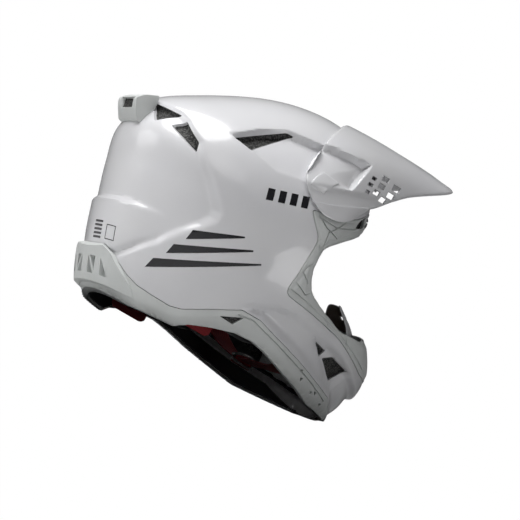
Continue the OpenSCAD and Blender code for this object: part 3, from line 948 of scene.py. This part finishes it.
def make_peak():
    na, nb = 180, 90
    u = np.linspace(-1, 1, na + 1)
    w = np.linspace(0, 1, nb + 1)
    across, along = np.meshgrid(u, w, indexing="ij")
    p = peak_points(across, along)
    du = np.gradient(p, axis=0)
    dw = np.gradient(p, axis=1)
    normal = np.cross(dw, du)
    normal /= np.linalg.norm(normal, axis=2, keepdims=True)
    if normal[na // 2, nb // 2, 2] < 0:
        normal = -normal
    height = peak_relief(p.reshape(-1, 3)).reshape(p.shape[:2])
    edge = np.minimum.reduce([along * 80, (1 - along) * 80, (1 - np.abs(across)) * 150])
    taper = edge_fall(edge, 2.5, 1.1)
    top = p + normal * (height + 1.4 + taper)[..., None]
    under = p + normal * (height - 1.4 - taper)[..., None]
    row = nb + 1
    count = (na + 1) * row
    faces = []
    for i in range(na):
        for k in range(nb):
            a = i * row + k
            faces.append((a, a + row, a + row + 1, a + 1))
            faces.append((count + a, count + a + 1, count + a + row + 1, count + a + row))
    for i in range(na):
        a = i * row
        faces.append((a, count + a, count + a + row, a + row))
        a = i * row + nb
        faces.append((a, a + row, count + a + row, count + a))
    for k in range(nb):
        faces.append((k, k + 1, count + k + 1, count + k))
        a = na * row + k
        faces.append((a, count + a, count + a + 1, a + 1))
    points = np.concatenate([top.reshape(-1, 3), under.reshape(-1, 3)])
    faces = facing_out(points, faces)
    piece = build("peak_moulding", points, faces)
    holes = []
    for y, z, size in PEAK_HOLES:
        quad = [[y + 3.4 * size, z - 2.2 * size], [y - 2.4 * size, z - 1.4 * size],
                [y - 3.4 * size, z + 2.2 * size], [y + 2.4 * size, z + 1.6 * size]]
        holes += on_both_sides(rounded(quad, 0.6, 3), 40, 160)
    carve(piece, prisms(holes))
    slit = rounded([[-14, 243], [-34, 240], [-36, 238], [-20, 239.5]], 1)
    carve(piece, prisms([(slit, "x", 30, 75), (slit, "x", -75, -30)]))
    finish_mesh(piece, PLASTIC, "peak_body", 50)
    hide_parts("peak")


def on_peak(y, z):
    """The sheet coordinates of the peak's side surface at a point of the side view."""
    across, along = np.meshgrid(np.linspace(0.3, 1, 141), np.linspace(0, 1, 141), indexing="ij")
    p = peak_points(across, along)
    far = (p[..., 1] - y) ** 2 + (p[..., 2] - z) ** 2
    i, k = np.unravel_index(np.argmin(far), far.shape)
    return np.array([across[i, k], along[i, k]])


def slab(name, rows, low, high):
    """A closed plate over rows of surface points, from low to high above them."""
    normal = np.cross(np.gradient(rows, axis=0), np.gradient(rows, axis=1))
    normal /= np.linalg.norm(normal, axis=2, keepdims=True)
    if np.sum(normal[..., 0] * rows[..., 0]) < 0:
        normal = -normal
    m, n = rows.shape[:2]
    count = m * n
    points = np.concatenate([(rows + normal * h).reshape(-1, 3) for h in (high, low)])
    faces = []
    for i in range(m - 1):
        for k in range(n - 1):
            a = i * n + k
            faces.append((a, a + 1, a + n + 1, a + n))
            faces.append((count + a, count + a + n, count + a + n + 1, count + a + 1))
    border = [k for k in range(n - 1)] + [i * n + n - 1 for i in range(m - 1)]
    border += [(m - 1) * n + k for k in range(n - 1, 0, -1)] + [i * n for i in range(m - 1, 0, -1)]
    for a, b in zip(border, border[1:] + border[:1]):
        faces.append((a, count + a, count + b, b))
    faces = facing_out(points, faces)
    return build(name, points, faces)


PEAK_COVER = [[36, 170], [26, 186], [8, 184], [20, 168]]
FLANGE_EDGE = [[126, 25, 158.5], [126.6, 8, 164], [121.5, -15, 174], [112, -36, 184]]
FLANGE_FOOT = [[24, 156.5], [9, 151.5], [-13, 157], [-34, 177]]


def side_width(y, z):
    """Half width of the shell at a point of the side view."""
    half = form_rows(0, MEDIUM)[:60].reshape(-1, 3)
    return half[np.argmin((half[:, 1] - y) ** 2 + (half[:, 2] - z) ** 2), 0]


def make_peak_sides():
    """The pivot cover and the turned-in lower flange on both sides of the peak."""
    corners = [on_peak(y, z) for y, z in PEAK_COVER]
    u = np.linspace(0, 1, 9)[:, None, None]
    v = np.linspace(0, 1, 9)[None, :, None]
    spot = (1 - u) * ((1 - v) * corners[0] + v * corners[1]) \
        + u * ((1 - v) * corners[3] + v * corners[2])
    cover = peak_points(spot[..., 0], spot[..., 1])
    cover[..., 0] += peak_relief(cover.reshape(-1, 3)).reshape(9, 9)
    t = np.linspace(0, 1, 31)
    edge = smooth_path(FLANGE_EDGE, t)
    foot = smooth_path([[side_width(y, z) + 4.4, y, z] for y, z in FLANGE_FOOT], t)
    fold = np.linspace(0, 1, 7)[None, :, None]
    flange = edge[:, None, :] * (1 - fold) + foot[:, None, :] * fold
    for side, word in ((1, "left"), (-1, "right")):
        for name, rows, low, high in (("peak_pivot_cover_", cover, 0.4, 2.1),
                                      ("peak_flange_", flange, -1.0, 0.6)):
            piece = slab(name + word, rows * [side, 1, 1], low, high)
            soften(piece, 0.5, 2)
            finish_mesh(piece, PLASTIC, "peak_body", 40)


# Places and sizes of the see-through holes, [y, z, size].
PEAK_HOLES = [
    [-31, 212, 1.1], [-28, 204, 1.1], [-27, 196, 1.0],
    [-46, 219, 1.6], [-43, 210, 1.6], [-38.5, 201, 1.5],
    [-63, 218, 1.9], [-58, 208, 1.8], [-50, 199.5, 1.6],
]


# ---------- pads ----------

def copy_of(node, name):
    piece = bpy.data.objects.new(name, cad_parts[node].data.copy())
    bpy.context.scene.collection.objects.link(piece)
    return piece


def welded(piece):
    mesh = bmesh.new()
    mesh.from_mesh(piece.data)
    bmesh.ops.remove_doubles(mesh, verts=mesh.verts, dist=1e-5)
    mesh.to_mesh(piece.data)
    mesh.free()


def remeshed(piece, voxel):
    change = piece.modifiers.new("remesh", "REMESH")
    change.mode = "VOXEL"
    change.voxel_size = voxel / 1000
    settle(piece)


def positions(piece):
    flat = np.zeros(len(piece.data.vertices) * 3, np.float32)
    piece.data.vertices.foreach_get("co", flat)
    return flat.reshape(-1, 3)


def puffed(piece, pressure, reach, frames=20):
    """Inflates a closed cloth piece; no point moves further than reach millimetres."""
    before = positions(piece)
    cloth = piece.modifiers.new("cloth", "CLOTH")
    cloth.settings.use_pressure = True
    cloth.settings.uniform_pressure_force = pressure
    cloth.settings.effector_weights.gravity = 0
    cloth.settings.mass = 0.3
    cloth.settings.tension_stiffness = 12
    cloth.settings.compression_stiffness = 12
    cloth.settings.bending_stiffness = 0.6
    cloth.point_cache.frame_start = 1
    cloth.point_cache.frame_end = frames
    scene = bpy.context.scene
    for number in range(1, frames + 1):
        scene.frame_set(number)
    settle(piece)
    scene.frame_set(1)
    after = positions(piece)
    move = after - before
    size = np.linalg.norm(move, axis=1, keepdims=True)
    limit = reach / 1000
    move *= np.minimum(1, limit / np.maximum(size, 1e-9))
    piece.data.vertices.foreach_set("co", (before + move).ravel())
    piece.data.update()


def smoothed(piece, rounds):
    change = piece.modifiers.new("smooth", "SMOOTH")
    change.factor = 0.5
    change.iterations = rounds
    settle(piece)


def subdivided(piece):
    change = piece.modifiers.new("subdivide", "SUBSURF")
    change.levels = 1
    change.render_levels = 1
    settle(piece)


def make_pad(name, node, body, voxel, pressure, reach, look=None):
    piece = copy_of(node, name)
    welded(piece)
    remeshed(piece, voxel)
    smoothed(piece, 3)
    puffed(piece, pressure, reach)
    smoothed(piece, 2)
    subdivided(piece)
    finish_mesh(piece, look or CLOTH, body, 180)
    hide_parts(node)


def make_pads():
    make_pad("comfort_padding", "comfort_liner", "helmet", 4.5, 4, 4)
    make_pad("neck_roll_padding", "neck_roll", "helmet", 4.5, 4, 5)
    make_pad("cheek_cushion_left", "cheek_pad_left", "cheek_left", 4, 4, 5)
    make_pad("cheek_cushion_right", "cheek_pad_right", "cheek_right", 4, 4, 5)
    make_pad("chin_cushion", "chin_inner_pad", "helmet", 3, 1.5, 2, GREY_FOAM)


# ---------- straps and small parts ----------

STRAP_PATH = [[92, -24, 71], [90.6, -36, 56], [81, -48, 40], [62, -58, 28], [36, -64, 21],
              [0, -64, 21]]
STRAP_W = 20.0
STRAP_T = 1.8
# Outline of the webbing, as parts of its half width and half thickness.
STRAP_SECTION = ((-1, 0), (-0.97, 0.8), (-0.9, 1), (-0.3, 1), (0.3, 1), (0.9, 1), (0.97, 0.8),
                 (1, 0), (0.97, -0.8), (0.9, -1), (0.3, -1), (-0.3, -1), (-0.9, -1),
                 (-0.97, -0.8))
# The loose tail and the loop around the rings: centre across, half width, [x, z] centre.
STRAP_Y = -64
TAIL_HALF = 9.6
LOOP_X, LOOP_Z = 39.2, 21


def webbing(name, side, start, end, stations):
    """A flat strap with rounded edges along the strap path."""
    t = np.linspace(start, end, stations + 1)
    centre = smooth_path(STRAP_PATH, t)
    ahead = smooth_path(STRAP_PATH, np.minimum(t + 0.02, 1)) \
        - smooth_path(STRAP_PATH, np.maximum(t - 0.02, 0))
    lean = np.stack([1 - t, 0 * t, -1.5 * t * t], 1)
    across = np.cross(ahead, lean)
    across /= np.linalg.norm(across, axis=1)[:, None]
    up = np.cross(ahead, across)
    up /= np.linalg.norm(up, axis=1)[:, None]
    ring = []
    half, thick = STRAP_W / 2, STRAP_T / 2
    for a, b in STRAP_SECTION:
        ring.append(centre + across * half * a + up * thick * b)
    rows = np.stack(ring, 1)
    n = rows.shape[1]
    points = rows.reshape(-1, 3) * [side, 1, 1]
    faces = []
    for s in range(stations):
        for k in range(n):
            m = (k + 1) % n
            faces.append((s * n + k, s * n + m, (s + 1) * n + m, (s + 1) * n + k))
    faces.append(tuple(range(n))[::-1])
    faces.append(tuple(stations * n + k for k in range(n)))
    faces = facing_out(points, faces)
    return build(name, points, faces)


def make_straps():
    left = webbing("chin_strap_left_webbing", 1, 0, 0.745, 40)
    right = webbing("chin_strap_right_webbing", -1, 0, 1, 48)
    for piece, node in ((left, "chin_strap_left"), (right, "chin_strap_right")):
        finish_mesh(piece, RED, "strap_body", 60)
    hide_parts("chin_strap_left")
    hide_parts("chin_strap_right")
    front, back = STRAP_Y - TAIL_HALF, STRAP_Y + TAIL_HALF
    tail = prisms([([[front, 20.1], [back, 20.1], [back, 21.9], [front, 21.9]], "x", -0.5, 31.5)])
    tail.name = "chin_strap_tail"
    soften(tail, 0.6, 3)
    finish_mesh(tail, RED, "strap_body", 60)
    fold = []
    for inner in (0.0, 1.0):
        half_w, half_h = 3.7 - 1.5 * inner, 5.3 - 1.5 * inner
        corners = [[LOOP_X + a * half_w, LOOP_Z + b * half_h]
                   for a, b in ((-1, -1), (1, -1), (1, 1), (-1, 1))]
        fold.append((rounded(corners, 2.0), "y", -74 - inner, -54 + inner))
    loop = prisms([fold[0]])
    loop.name = "chin_strap_loop"
    carve(loop, prisms([fold[1]]))
    finish_mesh(loop, RED, "strap_body", 60)


def make_tabs():
    for side, word in ((1, "left"), (-1, "right")):
        outline = rounded([[34, 21.5], [34, 11], [38, 8], [70, 8], [74, 11], [74, 21.5]], 2)
        low, high = sorted((side * 72.0, side * 73.6))
        piece = prisms([(outline, "x", low, high)])
        piece.name = "release_pull_" + word
        soften(piece, 0.5, 3)
        finish_mesh(piece, RED, "cheek_" + word, 60)
        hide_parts("release_tab_" + word)


def give_looks():
    """CAD pieces that keep their shape get a finish with grain and wear."""
    looks = {
        "slip_liner": SLIP,
        "rear_spoiler_mesh": MESH, "rear_top_mesh": MESH, "peak_mount": BLACK,
        "peak_side_pins": BLACK, "peak_bolt": BLACK, "peak_fin": PLASTIC,
        "cheek_plate_left": BLACK, "cheek_plate_right": BLACK,
        "strap_anchor_left": STEEL, "strap_anchor_right": STEEL,
        "strap_hanger_left": STEEL, "strap_hanger_right": STEEL,
        "d_ring_upper": STEEL, "d_ring_lower": STEEL,
    }
    for node, look in looks.items():
        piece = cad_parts[node]
        piece.data.materials.clear()
        piece.data.materials.append(look)


# ---------- stage ----------

TARGET = np.array([0.0, 0.0, 130.0])
VIEW_TURN = 27.0
VIEW_RISE = 4.0
HELMET_NOD = 30.0
DISTANCE = 2000.0
FRAME_RIGHT = 0.9
FRAME_UP = -24.5


def view_axes():
    """Directions to the right, up and towards the camera of the main view."""
    turn, rise, nod = np.radians([VIEW_TURN, VIEW_RISE, HELMET_NOD])
    back = np.array([-np.cos(turn) * np.cos(rise), np.sin(turn) * np.cos(rise), np.sin(rise)])
    right = np.array([-np.sin(turn), -np.cos(turn), 0])
    up = np.cross(back, right)
    tilt = np.array([[1, 0, 0], [0, np.cos(nod), np.sin(nod)], [0, -np.sin(nod), np.cos(nod)]])
    return tilt @ right, tilt @ up, tilt @ back


def make_camera():
    right, up, back = view_axes()
    data = bpy.data.cameras.new("main_view")
    data.lens = 144
    data.sensor_width = 36
    camera = bpy.data.objects.new("main_view", data)
    bpy.context.scene.collection.objects.link(camera)
    place = TARGET + DISTANCE * back + FRAME_RIGHT * right + FRAME_UP * up
    turn = Matrix(np.stack([right, up, back], 1).tolist()).to_4x4()
    camera.matrix_world = Matrix.Translation(Vector(place / 1000)) @ turn
    bpy.context.scene.camera = camera


def soft_light(name, direction, distance, size, power):
    data = bpy.data.lights.new(name, "AREA")
    data.shape = "DISK"
    data.size = size
    data.energy = power
    lamp = bpy.data.objects.new(name, data)
    bpy.context.scene.collection.objects.link(lamp)
    direction = direction / np.linalg.norm(direction)
    lamp.location = Vector(TARGET / 1000 + direction * distance)
    lamp.rotation_euler = Vector(direction).to_track_quat("Z", "Y").to_euler()


def plain_look(name, color, glow=0.0):
    look = bpy.data.materials.new(name)
    look.use_nodes = True
    tree = look.node_tree
    shader = tree.nodes["Principled BSDF"]
    shader.inputs["Base Color"].default_value = (*color, 1)
    shader.inputs["Roughness"].default_value = 0.9
    shader.inputs["Specular IOR Level"].default_value = 0.1
    shader.inputs["Emission Color"].default_value = (1, 1, 1, 1)
    shader.inputs["Emission Strength"].default_value = glow
    return look


def make_floor():
    """A pale floor that can be seen only from above, as the main view looks from below it."""
    bpy.ops.mesh.primitive_circle_add(vertices=96, radius=4, fill_type="NGON",
                                      location=(0, 0, -0.0006))
    floor = bpy.context.object
    floor.name = "floor"
    look = plain_look("pale_floor", (0.55, 0.55, 0.55))
    tree = look.node_tree
    seen_from = tree.nodes.new("ShaderNodeNewGeometry")
    clear = tree.nodes.new("ShaderNodeBsdfTransparent")
    mix = tree.nodes.new("ShaderNodeMixShader")
    tree.links.new(seen_from.outputs["Backfacing"], mix.inputs["Fac"])
    tree.links.new(tree.nodes["Principled BSDF"].outputs["BSDF"], mix.inputs[1])
    tree.links.new(clear.outputs["BSDF"], mix.inputs[2])
    tree.links.new(mix.outputs["Shader"], tree.nodes["Material Output"].inputs["Surface"])
    floor.data.materials.append(look)


def make_backdrop():
    """A plain white surround that the camera sees and that lights nothing."""
    bpy.ops.mesh.primitive_uv_sphere_add(segments=48, ring_count=24, radius=8)
    ball = bpy.context.object
    ball.name = "backdrop"
    ball.data.materials.append(plain_look("white_backdrop", (0, 0, 0), 1.0))
    ball.visible_diffuse = False
    ball.visible_glossy = False
    ball.visible_transmission = False
    ball.visible_shadow = False


def make_lights():
    right, up, back = view_axes()
    soft_light("top_light", up + 0.15 * back - 0.1 * right, 1.3, 1.2, 19)
    soft_light("left_light", -right + 0.6 * up + 0.1 * back, 1.6, 0.8, 3)
    soft_light("front_light", back + 0.6 * up + 0.2 * right, 2.4, 1.2, 3)
    soft_light("low_light", back - 0.55 * up + 1.0 * right, 1.8, 1.0, 7.5)
    world = bpy.data.worlds.new("studio")
    bpy.context.scene.world = world
    world.use_nodes = True
    world.node_tree.nodes["Background"].inputs["Color"].default_value = (1, 1, 1, 1)
    world.node_tree.nodes["Background"].inputs["Strength"].default_value = 0.09
    bpy.context.scene.view_settings.view_transform = "Standard"


make_shell()
make_liners()
make_meshes()
make_eyeport_trim()
make_base_trim()
make_spoiler()
make_rear_exhaust()
make_nose_guard()
make_chin_frame()
make_graphics()
make_peak()
make_peak_sides()
make_pads()
make_straps()
make_tabs()
give_looks()
make_floor()
make_backdrop()
make_lights()
make_camera()
